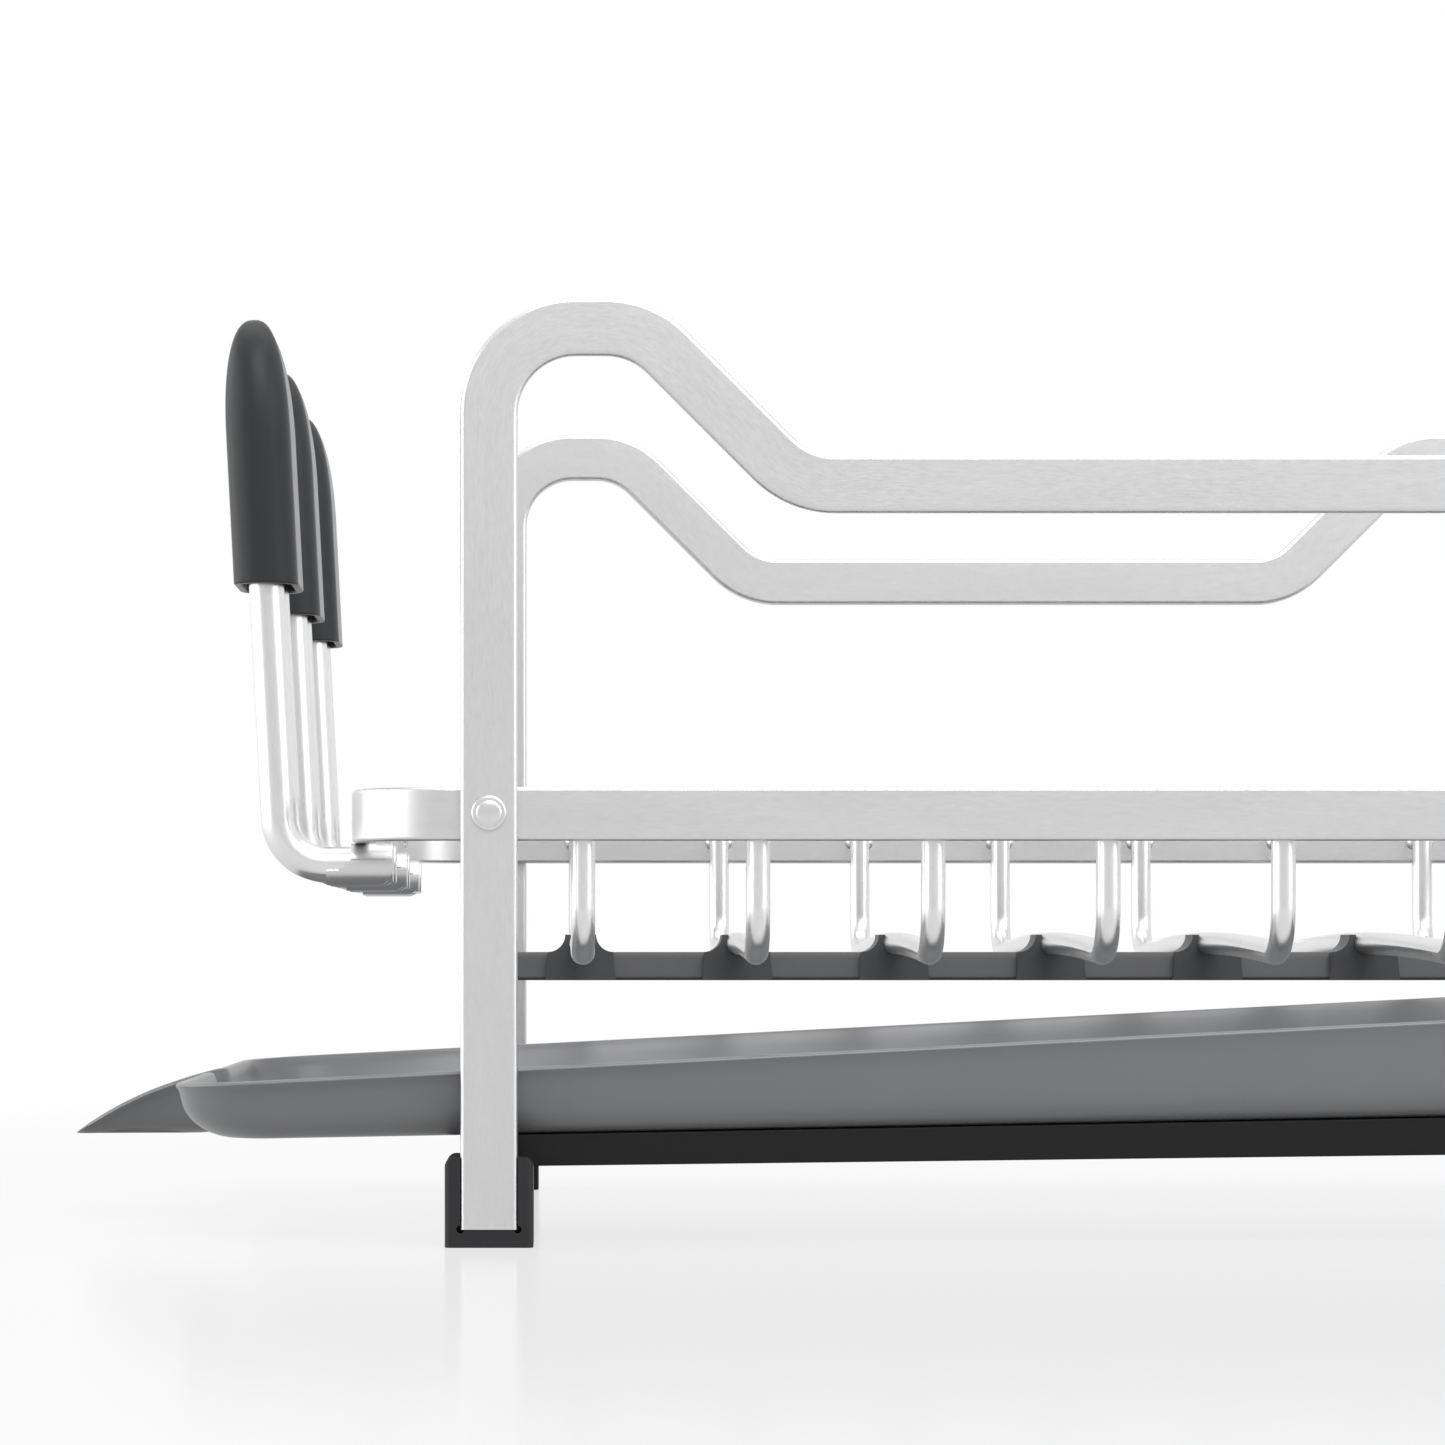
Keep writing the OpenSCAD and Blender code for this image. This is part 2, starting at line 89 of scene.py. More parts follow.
def linear(hex_colour):
    """An sRGB hex colour as linear RGBA."""
    parts = [int(hex_colour[i : i + 2], 16) / 255 for i in (1, 3, 5)]
    return [c / 12.92 if c <= 0.04045 else ((c + 0.055) / 1.055) ** 2.4 for c in parts] + [1.0]


def length(name, description, millimetres):
    """A length property, given in millimetres and kept in metres."""
    return FloatProperty(
        name=name, description=description, default=millimetres * MM, min=0, precision=5, subtype="DISTANCE"
    )


def angle(name, description, degrees):
    """An angle property, given in degrees."""
    return FloatProperty(name=name, description=description, default=math.radians(degrees), subtype="ANGLE")


def colour(name, description, hex_colour):
    """A colour property, given as sRGB hex."""
    return FloatVectorProperty(
        name=name, description=description, default=linear(hex_colour), size=4, min=0, max=1, subtype="COLOR"
    )


class ArchSizes(PropertyGroup):
    """Sizes of the two arches."""

    bar_width: length("Bar width", "Width of the flat bar of the arches", 13.5)
    bar_thickness: length("Bar thickness", "Thickness of all flat bar", 4)
    edge: length("Bar edge", "Radius of the arch bar's long edges", 1.2)
    bend: length("Bend radius", "Centre-line radius of each bend of an arch", 20.5)
    crown_flat: length("Crown flat", "Straight length on each crown", 7)
    dip: length("Dip", "How far the middle of an arch lies below its crowns", 37)


class BasketSizes(PropertyGroup):
    """Sizes of the rim, its rivets and the plate wires."""

    rim_edge: length("Rim edge", "Radius of the rim bar's long edges", 1)
    rim_bend: length("Rim corner", "Centre-line radius of the rim's corners", 22)
    wire_bend: length("Wire bend", "Centre-line radius of a plate wire's bends", 11)
    wire_sweep: length("Wire bow", "Radius of the slight upward bow in a wire's run", 2550)
    rivet_head: length("Rivet head", "Diameter of a rim rivet's head", 8.3)
    rivet_height: length("Rivet height", "Height of a rim rivet's head", 1.3)
    weld: length("Weld size", "Width of the bead at a wire's end", 4.2)
    weld_drop: length("Weld drop", "How far the beads lie below a wire's end", 4.6)
    small_head: length("Socket rivet height", "Height of the heads that hold the sockets", 0.5)


class HoopSizes(PropertyGroup):
    """Sizes of the cup hoops and their grips."""

    rod: length("Rod", "Diameter of a cup hoop's rod", 8.5)
    gap: length("Leg distance", "Distance between the legs of one hoop", 19)
    bend: length("Foot bend", "Centre-line radius between a leg and its foot", 11.5)
    arm: length("Foot length", "Straight length of a hoop's foot", 16.25)
    lean: angle("Lean", "Outward lean of the hoops", 3)
    grip_radius: length("Grip radius", "Radius of the grip round one leg", 7.85)
    grip_nose: length("Grip nose", "Height of the part of the grip that narrows to its top", 30)
    grip_power: FloatProperty(name="Bluntness", description="2 is an ellipse, more is blunter", default=2.3)
    grip_wall: length("Grip wall", "Wall of the grip at its open hem", 1.9)
    grip_edge: length("Grip edge", "Radius of the hem's rolled edge", 0.5)
    grip_recess: length("Grip recess", "Depth of the recess at the grip's hem", 7)


class TraySizes(PropertyGroup):
    """Sizes of the drip tray and its spout."""

    left: length("Left end", "Distance from the middle of the arches to the left end wall", 228.7)
    low: length("Left height", "Height of the tray's top edge at its left end", 38)
    top_slope: angle("Top slope", "Slope of the tray's top edge", 2.93)
    floor_slope: angle("Floor slope", "Slope of the tray's floor", 1.05)
    bed: length("Bed height", "Height of the tray's underside at its left end", 24.62)
    wall: length("Wall", "Wall thickness", 2.5)
    corner: length("Corner", "Radius of the tray's corners, seen from above", 24)
    draft: length("Draft", "How far the side walls lean out from the floor to the top edge", 3)
    end_draft: length("End draft", "How far the end walls lean out from the floor to the top edge", 0.8)
    round_x: length("End rounding", "Rounding between floor and end walls, along the tray", 13.5)
    round_y: length("Side rounding", "Rounding between floor and side walls, across the tray", 8)
    round_z: length("Rounding height", "Height of the rounding between floor and walls", 11)
    lip: length("Lip", "Radius of the top edge", 0.9)
    flange: length("Flange", "How far the top edge stands out from the wall", 0.35)
    spout_root: length("Spout root", "Width of the spout where it leaves the tray's floor", 58)
    spout_tip: length("Spout tip", "Width of the spout at its tip", 16)
    spout_inside: length("Spout start", "How far inside the end wall the spout starts", 22)
    spout_fillet: length("Spout fillet", "Radius between the spout and the end wall", 6)
    spout_bed: length("Spout height", "Height of the spout's underside where it leaves the tray's floor", 22)
    spout_curve: length("Spout curve", "Radius of the spout's top edge, seen from the front", 95)
    spout_dive: angle("Spout dive", "Slope of the spout's top edge where it leaves the tray", 12.4)


class StageSizes(PropertyGroup):
    """The camera and the worktop."""

    camera_back: length("Camera distance", "Distance from the front arch to the camera", 1001)
    camera_left: length("Camera offset", "How far the camera stands left of the arches' middle", 135.8)
    camera_height: length("Camera height", "Height of the camera above the worktop", 69.6)
    lens: FloatProperty(name="Lens", description="Focal length in millimetres", default=106.1, unit="CAMERA")
    shift_x: FloatProperty(name="Shift right", description="Sideways shift of the frame", default=0.1125)
    shift_y: FloatProperty(name="Shift up", description="Upward shift of the frame", default=0.1588)
    floor: length("Worktop size", "Side of the square worktop", 9000)


class Finishes(PropertyGroup):
    """The colour of each finish."""

    aluminium: colour("Aluminium", "Brushed flat bar", "#D6D6D7")
    rod: colour("Rod", "Satin rods of the wires and hoops", "#E2E2E2")
    rivet: colour("Rivet", "Drawn rivet heads", "#DCDCDD")
    tray: colour("Tray", "Moulded tray", "#727375")
    dark: colour("Boots", "Dark mouldings", "#242426")
    rail: colour("Wire rail", "Moulded rail under the wires", "#454648")
    black: colour("Tray rails", "Black mouldings", "#161617")
    rubber: colour("Grips", "Soft grips", "#2F3032")
    worktop: colour("Worktop", "Polished pale worktop", "#BEBEBE")


class RackSettings(PropertyGroup):
    """All of the rack's settings."""

    arch: PointerProperty(type=ArchSizes)
    basket: PointerProperty(type=BasketSizes)
    hoop: PointerProperty(type=HoopSizes)
    tray: PointerProperty(type=TraySizes)
    stage: PointerProperty(type=StageSizes)
    finish: PointerProperty(type=Finishes)


def settings():
    """The rack's settings in this scene."""
    return bpy.context.scene.dish_rack


# ---- Nodes and materials ----


def put(tree, kind, inputs=None, **settings_of_node):
    """Adds a node with its settings, and feeds its inputs with values or other nodes' outputs.

    A node given as a value stands for its first output in use.
    """
    node = tree.nodes.new(kind)
    for key, value in settings_of_node.items():
        setattr(node, key, value)
    for key, value in (inputs or {}).items():
        if isinstance(key, str):
            socket = next(s for s in node.inputs if s.name == key and s.enabled)
        else:
            socket = node.inputs[key]
        if isinstance(value, bpy.types.Node):
            value = next(s for s in value.outputs if s.enabled)
        if isinstance(value, bpy.types.NodeSocket):
            tree.links.new(value, socket)
        else:
            socket.default_value = value
    return node


def empty_material(name):
    """A material with an empty node tree, and that tree."""
    material = bpy.data.materials.new(name)
    material.use_nodes = True
    material.node_tree.nodes.clear()
    return material, material.node_tree


def metal_grain(tree, along_mm, across_mm):
    """Noise drawn out along a swept bar, from its own length and section, in 0 to 1."""
    along = put(tree, "ShaderNodeAttribute", attribute_name="along")
    across = put(tree, "ShaderNodeAttribute", attribute_name="across")
    parts = put(tree, "ShaderNodeSeparateXYZ", {"Vector": across.outputs["Vector"]}).outputs
    spot = {"X": along.outputs["Fac"], "Y": parts["X"], "Z": parts["Y"]}
    place = put(tree, "ShaderNodeCombineXYZ", spot)
    scale = (1 / (along_mm * MM), 1 / (across_mm * MM), 1 / (across_mm * MM))
    drawn = put(tree, "ShaderNodeMapping", {"Vector": place, "Scale": scale})
    values = {"Vector": drawn, "Scale": 1.0, "Detail": 4.0, "Roughness": 0.6}
    return put(tree, "ShaderNodeTexNoise", values)


def object_noise(tree, size_mm, detail=3.0):
    """Even noise on object coordinates, with features of the given size, in 0 to 1."""
    place = put(tree, "ShaderNodeTexCoord").outputs["Object"]
    values = {"Vector": place, "Scale": 1 / (size_mm * MM), "Detail": detail, "Roughness": 0.55}
    return put(tree, "ShaderNodeTexNoise", values)


def tinted(tree, pattern, base, low, high):
    """The base colour made darker or lighter, from low to high times, where the pattern says."""
    shade = put(tree, "ShaderNodeMapRange", {"Value": pattern, "To Min": low, "To Max": high})
    values = {"Factor": 1.0, 6: base, 7: shade}
    return put(tree, "ShaderNodeMix", values, data_type="RGBA", blend_type="MULTIPLY")


def surfaced(material, base, roughness, relief, values):
    """Ends a material with its shader.

    roughness is (pattern, lowest, highest), relief is (pattern, depth in mm, strength), and values are
    the shader's plain numbers.
    """
    tree = material.node_tree
    pattern, low, high = roughness
    rough = put(tree, "ShaderNodeMapRange", {"Value": pattern, "To Min": low, "To Max": high})
    pattern, depth_mm, strength = relief
    height = {"Height": pattern, "Distance": depth_mm * MM, "Strength": strength}
    bump = put(tree, "ShaderNodeBump", height)
    fed = {"Base Color": base, "Roughness": rough, "Normal": bump}
    shader = put(tree, "ShaderNodeBsdfPrincipled", {**fed, **values})
    put(tree, "ShaderNodeOutputMaterial", {"Surface": shader})
    return material


METAL = {"Metallic": 1.0}


def brushed_aluminium():
    """Extruded aluminium flat bar, brushed along its length: short fine lines, a broad satin shine."""
    material, tree = empty_material("brushed_aluminium")
    # Real brushing is about 0.05 mm wide. It is drawn 0.3 mm wide, so that it shows.
    lines = metal_grain(tree, 2.5, 0.3)
    clouds = metal_grain(tree, 60, 9)
    base = tinted(tree, lines, settings().finish.aluminium, 0.93, 1.05)
    base = tinted(tree, clouds, base, 0.93, 1.05)
    return surfaced(material, base, (lines, 0.3, 0.46), (lines, 0.02, 0.35), METAL)


def satin_rod():
    """Drawn aluminium rod with a satin anodised skin: nearly even, with faint lines along it."""
    material, tree = empty_material("satin_anodised_rod")
    # The real drawing lines are finer than 0.1 mm. They are drawn 0.4 mm wide, so that they show.
    lines = metal_grain(tree, 4, 0.4)
    base = tinted(tree, lines, settings().finish.rod, 0.95, 1.03)
    return surfaced(material, base, (lines, 0.24, 0.34), (lines, 0.01, 0.08), METAL)


def formed_metal(name, tint, roughness):
    """Pressed or headed aluminium with a light tumbled texture."""
    material, tree = empty_material(name)
    grain = object_noise(tree, 0.5)
    base = tinted(tree, grain, tint, 0.94, 1.04)
    rough = (grain, roughness - 0.05, roughness + 0.07)
    return surfaced(material, base, rough, (grain, 0.01, 0.25), METAL)


def moulding(name, tint, roughness, grain_mm, depth_mm, values):
    """Injection-moulded plastic: a fine eroded grain from the mould and slow clouds in its shade.

    A real mould's grain is about 0.1 mm. It is drawn 0.3 to 0.4 mm wide, so that it shows.
    """
    material, tree = empty_material(name)
    grain = object_noise(tree, grain_mm, 2.0)
    clouds = object_noise(tree, 60)
    base = tinted(tree, clouds, tint, 0.94, 1.06)
    base = tinted(tree, grain, base, 0.96, 1.04)
    rough = (clouds, roughness - 0.04, roughness + 0.06)
    return surfaced(material, base, rough, (grain, depth_mm, 0.5), values)


def material_set():
    """Every material by its key. Most keys are the slots' names."""
    finish = settings().finish
    gloss = "Specular IOR Level"
    bloom = {gloss: 0.2, "Sheen Weight": 0.5, "Sheen Roughness": 0.2}
    return {
        "aluminium_bar": brushed_aluminium(),
        "satin_rod": satin_rod(),
        "rivets": formed_metal("headed_aluminium", finish.rivet, 0.3),
        "pressed": formed_metal("pressed_aluminium", finish.aluminium, 0.38),
        # Polypropylene from a lightly polished mould: satin, with a soft bright line on the lip.
        "grey_plastic": moulding("satin_polypropylene", finish.tray, 0.33, 0.35, 0.01, {gloss: 0.65}),
        # Grained ABS and nylon: nearly matt.
        "dark_plastic": moulding("grained_abs", finish.dark, 0.5, 0.4, 0.02, {gloss: 0.3}),
        "rail_plastic": moulding("grained_nylon", finish.rail, 0.5, 0.4, 0.02, {}),
        "black_plastic": moulding("black_abs", finish.black, 0.55, 0.4, 0.02, {gloss: 0.2}),
        # Soft thermoplastic rubber: dull in front, with a pale bloom towards its outline.
        "grip_rubber": moulding("soft_tpe_rubber", finish.rubber, 0.42, 0.3, 0.01, bloom),
    }


MATERIALS = {}


def material_for(key):
    """The material of that key."""
    if not MATERIALS:
        MATERIALS.update(material_set())
    return MATERIALS[key]


# ---- Meshes ----


def link(thing):
    """Puts an object into the scene."""
    bpy.context.scene.collection.objects.link(thing)
    return thing


def from_bmesh(name, bm):
    """An object from a finished bmesh."""
    mesh = bpy.data.meshes.new(name)
    bm.to_mesh(mesh)
    bm.free()
    return link(bpy.data.objects.new(name, mesh))


def as_plain_mesh(thing):
    """The evaluated object as a new object with a plain mesh, in place of the old one."""
    graph = bpy.context.evaluated_depsgraph_get()
    mesh = bpy.data.meshes.new_from_object(
        thing.evaluated_get(graph), preserve_all_data_layers=True, depsgraph=graph
    )
    name = thing.name
    bpy.data.objects.remove(thing)
    mesh.name = name
    return link(bpy.data.objects.new(name, mesh))


def smoothed(thing, sharp_degrees=40):
    """Smooth shading that keeps flat faces flat and edges over the given angle sharp."""
    thing.data.shade_smooth()
    thing.data.set_sharp_from_angle(angle=math.radians(sharp_degrees))
    even = thing.modifiers.new("Even shading", "WEIGHTED_NORMAL")
    even.keep_sharp = True
    even.weight = 80
    return as_plain_mesh(thing)


def seat(thing, body, nodes, slot, material_key=None):
    """Gives a finished piece its material, ties it to its body and hides the nodes it stands for."""
    thing.data.materials.clear()
    thing.data.materials.append(material_for(material_key or slot))
    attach(thing, body)
    if nodes:
        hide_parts(*nodes)
    return thing


def softened_copy(node, body, slot, width_mm, material_key=None):
    """A CAD node's own shape with its sharp edges eased, standing for that node."""
    bm = bmesh.new()
    bm.from_mesh(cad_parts[node].data)
    bmesh.ops.remove_doubles(bm, verts=bm.verts, dist=WELD)
    bmesh.ops.dissolve_limit(bm, angle_limit=math.radians(1), verts=bm.verts, edges=bm.edges)
    thing = from_bmesh(node + "_finished", bm)
    ease = thing.modifiers.new("Eased edges", "BEVEL")
    ease.width = width_mm * MM
    ease.segments = 2
    ease.limit_method = "ANGLE"
    ease.angle_limit = math.radians(35)
    return seat(smoothed(as_plain_mesh(thing)), body, [node], slot, material_key)


# ---- Swept bars and rods, by Geometry Nodes ----


def arc(start, end, count):
    """(cosine, sine) at even steps from one angle to another, with both ends."""
    angles = [start + (end - start) * k / count for k in range(count + 1)]
    return [(math.cos(a), math.sin(a)) for a in angles]


def route(steps, radius, facet=math.radians(3)):
    """Points along straights and bends in the XY plane, from the origin towards +Y.

    A step is a straight run and the turn after it.
    """
    here, heading = Vector((0, 0, 0)), QUARTER
    points = [here]
    for run, turn in steps:
        if run > 0:
            here = here + run * Vector((math.cos(heading), math.sin(heading), 0))
            points.append(here)
        if turn:
            side = math.copysign(1, turn)
            hub = here + side * radius * Vector((-math.sin(heading), math.cos(heading), 0))
            for c, s in arc(heading, heading + turn, math.ceil(abs(turn) / facet))[1:]:
                points.append(hub + side * radius * Vector((s, -c, 0)))
            heading += turn
            here = points[-1]
    return points


def curve_through(name, points, closed=False, twist="Z_UP"):
    """A curve object through the points."""
    data = bpy.data.curves.new(name, "CURVE")
    data.dimensions = "3D"
    data.twist_mode = twist
    spline = data.splines.new("POLY")
    spline.points.add(len(points) - 1)
    for point, place in zip(spline.points, points):
        point.co = (*place, 1)
    spline.use_cyclic_u = closed
    return link(bpy.data.objects.new(name, data))


def new_tree(name, sockets):
    """A Geometry Nodes tree with the given inputs, and those inputs' sockets."""
    tree = bpy.data.node_groups.new(name, "GeometryNodeTree")
    tree.interface.new_socket("Geometry", in_out="INPUT", socket_type="NodeSocketGeometry")
    for label, kind, default in sockets:
        socket = tree.interface.new_socket(label, in_out="INPUT", socket_type=kind)
        if default is not None:
            socket.default_value = default
    tree.interface.new_socket("Geometry", in_out="OUTPUT", socket_type="NodeSocketGeometry")
    return tree, put(tree, "NodeGroupInput").outputs


def close_tree(tree, geometry, material):
    """Ends a tree with Realize Instances and Set Material."""
    real = put(tree, "GeometryNodeRealizeInstances", {"Geometry": geometry})
    painted = put(tree, "GeometryNodeSetMaterial", {"Geometry": real, "Material": material})
    put(tree, "NodeGroupOutput", {"Geometry": painted})
    return tree


def swept_tree():
    """Sweeps a rounded section along the object's curve, once or as several copies in a row."""
    tree, given = new_tree(
        "Swept section",
        [
            ("Width", "NodeSocketFloat", 0.01),
            ("Thickness", "NodeSocketFloat", 0.004),
            ("Edge", "NodeSocketFloat", 0.001),
            ("Edge Points", "NodeSocketInt", 5),
            ("Copies", "NodeSocketInt", 1),
            ("Step", "NodeSocketVector", (0.0, 0.0, 0.0)),
            ("Material", "NodeSocketMaterial", None),
        ],
    )
    distance = put(tree, "GeometryNodeSplineParameter").outputs["Length"]
    mark = {"Geometry": given["Geometry"], "Name": "along", "Value": distance}
    marked = put(tree, "GeometryNodeStoreNamedAttribute", mark, data_type="FLOAT", domain="POINT")
    sides = {"Width": given["Width"], "Height": given["Thickness"]}
    section = put(tree, "GeometryNodeCurvePrimitiveQuadrilateral", sides, mode="RECTANGLE")
    edge = {"Curve": section, "Radius": given["Edge"], "Count": given["Edge Points"], "Limit Radius": True}
    rounded = put(tree, "GeometryNodeFilletCurve", edge, mode="POLY")
    mark = {"Geometry": rounded, "Name": "across", "Value": put(tree, "GeometryNodeInputPosition")}
    profile = put(tree, "GeometryNodeStoreNamedAttribute", mark, data_type="FLOAT_VECTOR", domain="POINT")
    sweep = {"Curve": marked, "Profile Curve": profile, "Fill Caps": True}
    bar = put(tree, "GeometryNodeCurveToMesh", sweep)
    line = {"Count": given["Copies"], "Offset": given["Step"]}
    row = put(tree, "GeometryNodeMeshLine", line, mode="OFFSET")
    copies = put(tree, "GeometryNodeInstanceOnPoints", {"Points": row, "Instance": bar})
    return close_tree(tree, copies, given["Material"])


def scattered_tree():
    """Puts the given object at each point of the mesh, turned so that its Z axis follows "facing"."""
    tree, given = new_tree(
        "Pieces on points", [("Piece", "NodeSocketObject", None), ("Material", "NodeSocketMaterial", None)]
    )
    piece = put(tree, "GeometryNodeObjectInfo", {"Object": given["Piece"]})
    facing = put(tree, "GeometryNodeInputNamedAttribute", {"Name": "facing"}, data_type="FLOAT_VECTOR")
    turned = put(tree, "FunctionNodeAlignRotationToVector", {"Vector": facing}, axis="Z")
    placing = {"Points": given["Geometry"], "Instance": piece.outputs["Geometry"], "Rotation": turned}
    copies = put(tree, "GeometryNodeInstanceOnPoints", placing)
    return close_tree(tree, copies, given["Material"])


TREES = {}


def tree_for(make):
    """The tree that the function makes, made once."""
    if make not in TREES:
        TREES[make] = make()
    return TREES[make]


def with_nodes(thing, make, values):
    """The object as a plain mesh after that tree has run on it with those values."""
    tree = tree_for(make)
    modifier = thing.modifiers.new("Build", "NODES")
    modifier.node_group = tree
    for item in tree.interface.items_tree:
        if item.in_out == "INPUT" and item.name in values:
            modifier[item.identifier] = values[item.name]
    return as_plain_mesh(thing)


def swept(
    name, points, width, thickness, edge, material_key, closed=False, copies=1, step=(0, 0, 0), twist="Z_UP"
):
    """A rounded section swept along the points, once or as copies in a row."""
    # A rod's section is all edge, so it gets more points.
    is_rod = edge > thickness * 0.45
    values = {
        "Width": width,
        "Thickness": thickness,
        "Edge": edge,
        "Edge Points": 8 if is_rod else 5,
        "Copies": copies,
        "Step": step,
        "Material": material_for(material_key),
    }
    return with_nodes(curve_through(name, points, closed, twist), swept_tree, values)


def placed(thing, matrix):
    """Moves the mesh itself, so that the object stays at the origin."""
    thing.data.transform(matrix)
    return thing


def lathe(name, outline, count=48):
    """A solid turned about Z from (radius, height) points that start and end on the axis."""
    bm = bmesh.new()
    verts = [bm.verts.new((r, 0, z)) for r, z in outline]
    edges = [bm.edges.new(pair) for pair in zip(verts, verts[1:])]
    turn = {"cent": (0, 0, 0), "axis": (0, 0, 1), "angle": 2 * math.pi, "steps": count}
    bmesh.ops.spin(bm, geom=verts + edges, use_duplicate=False, **turn)
    bmesh.ops.remove_doubles(bm, verts=bm.verts, dist=WELD)
    bmesh.ops.recalc_face_normals(bm, faces=bm.faces)
    return from_bmesh(name, bm)


def on_points(name, piece, places, material_key):
    """Copies of a piece at (position, direction) places, as one mesh."""
    mesh = bpy.data.meshes.new(name)
    mesh.from_pydata([tuple(p) for p, _ in places], [], [])
    facing = mesh.attributes.new("facing", "FLOAT_VECTOR", "POINT")
    for k, (_, direction) in enumerate(places):
        facing.data[k].vector = direction
    values = {"Piece": piece, "Material": material_for(material_key)}
    thing = with_nodes(link(bpy.data.objects.new(name, mesh)), scattered_tree, values)
    bpy.data.objects.remove(piece)
    return thing


# ---- The pieces ----


class Step:
    """What every operator of the rack shares."""

    bl_options = {"REGISTER", "UNDO"}


class RACK_OT_arches(Step, Operator):
    """The two bent flat-bar arches"""

    bl_idname = "rack.arches"
    bl_label = "Arches"

    def execute(self, context):
        size = settings().arch
        eighth = QUARTER / 2
        crown = ARCH_HIGH.z - size.bar_width / 2
        leg = crown - size.bend - ARCH_LOW.z
        slope = (size.dip - 2 * size.bend * (1 - math.cos(eighth))) / math.sin(eighth)
        crown_run = size.bend + size.crown_flat + 2 * size.bend * math.sin(eighth) + slope * math.cos(eighth)
        span = ARCH_HIGH.x - ARCH_LOW.x - size.bar_width
        half = [(leg, -QUARTER), (size.crown_flat, -eighth), (slope, eighth)]
        other = [(slope, -eighth), (size.crown_flat, -QUARTER), (leg, 0)]
        points = route(half + [(span - 2 * crown_run, eighth)] + other, size.bend)
        for node, low, high in (("front_arch", ARCH_LOW, ARCH_HIGH), ("rear_arch", REAR_LOW, REAR_HIGH)):
            section = (size.bar_width, size.bar_thickness, size.edge)
            bar = swept(node + "_bar", points, *section, "aluminium_bar")
            stand = Matrix.Translation((MID_X - span / 2, (low.y + high.y) / 2, low.z))
            placed(bar, stand @ Matrix.Rotation(QUARTER, 4, "X"))
            seat(smoothed(bar), "rack", [node], "aluminium_bar")
        return {"FINISHED"}


class RACK_OT_rim(Step, Operator):
    """The flat-bar rim of the basket"""

    bl_idname = "rack.rim"
    bl_label = "Basket rim"

    def execute(self, context):
        size, bar = settings().basket, settings().arch.bar_thickness
        side_x = RIM_HIGH.x - RIM_LOW.x - bar - 2 * size.rim_bend
        side_y = RIM_HIGH.y - RIM_LOW.y - bar - 2 * size.rim_bend
        points = route([(side_x, QUARTER), (side_y, QUARTER)] * 2, size.rim_bend)[:-1]
        section = (bar, RIM_HIGH.z - RIM_LOW.z, size.rim_edge)
        rim = swept("basket_rim_bar", points, *section, "aluminium_bar", closed=True)
        start = Matrix.Translation((MID_X + side_x / 2, RIM_HIGH.y - bar / 2, (RIM_LOW.z + RIM_HIGH.z) / 2))
        placed(rim, start @ Matrix.Rotation(QUARTER, 4, "Z"))
        seat(smoothed(rim), "rack", ["basket_rim"], "aluminium_bar")
        return {"FINISHED"}


class RACK_OT_wires(Step, Operator):
    """The row of U-shaped plate wires, with the welds that hold them to the rim"""

    bl_idname = "rack.wires"
    bl_label = "Plate wires"

    def execute(self, context):
        low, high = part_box(WIRES[0])
        rod = high.x - low.x
        step = centre(WIRES[1]).x - centre(WIRES[0]).x
        row = {"copies": len(WIRES), "step": (0, 0, step)}
        wires = swept("plate_wires", self.line(rod, low, high), rod, rod, rod / 2, "satin_rod", **row)
        # The line's X becomes Y, its Y becomes Z and its Z becomes X.
        turn = Matrix(((0, 0, 1, 0), (1, 0, 0, 0), (0, 1, 0, 0), (0, 0, 0, 1)))
        placed(wires, Matrix.Translation((centre(WIRES[0]).x, 0, 0)) @ turn)
        seat(smoothed(wires), "rack", WIRES, "satin_rod")
        self.welds(rod, Vector((high.x, RIM_HIGH.y - settings().arch.bar_thickness, high.z)))
        return {"FINISHED"}

    def line(self, rod, low, high):
        """A wire's centre line in (y, z): leg, bend, and the run that bows up towards its middle."""
        size = settings().basket
        bend, sweep = size.wire_bend, size.wire_sweep
        hub_y = high.y - rod / 2 - bend
        hub_z = low.z + rod / 2 + bend
        turn = math.asin(hub_y / (sweep + bend))
        sweep_z = hub_z - (bend + sweep) * math.cos(turn)
        half = [Vector((-hub_y - bend, high.z, 0))]
        for c, s in arc(math.pi, math.pi + QUARTER + turn, 30):
            half.append(Vector((-hub_y + bend * c, hub_z + bend * s, 0)))
        for c, s in arc(turn, 0, 12)[1:-1]:
            half.append(Vector((-sweep * s, sweep_z + sweep * c, 0)))
        other = [Vector((-p.x, p.y, 0)) for p in reversed(half)]
        return half + [Vector((0, sweep_z + sweep, 0))] + other

    def welds(self, rod, high):
        """A low bead on each side of a wire's end, against the rim."""
        size = settings().basket
        wide, tall, back = size.weld * 0.5, size.weld * 0.4, -0.4 * MM
        mound = [(wide * c, tall * s) for c, s in arc(0, QUARTER, 6)[:-1]]
        bead = lathe("bead", [(0, back), *mound, (0, tall)], count=24)
        places = []
        for node in WIRES:
            for side in (-1, 1):
                for edge in (-1, 1):
                    spot = (centre(node).x + edge * rod * 0.34, side * high.y, high.z - size.weld_drop)
                    places.append((Vector(spot), (0, -side, 0)))
        welds = on_points("wire_welds", bead, places, "rivets")
        seat(smoothed(welds), "rack", [], "satin_rod", "rivets")


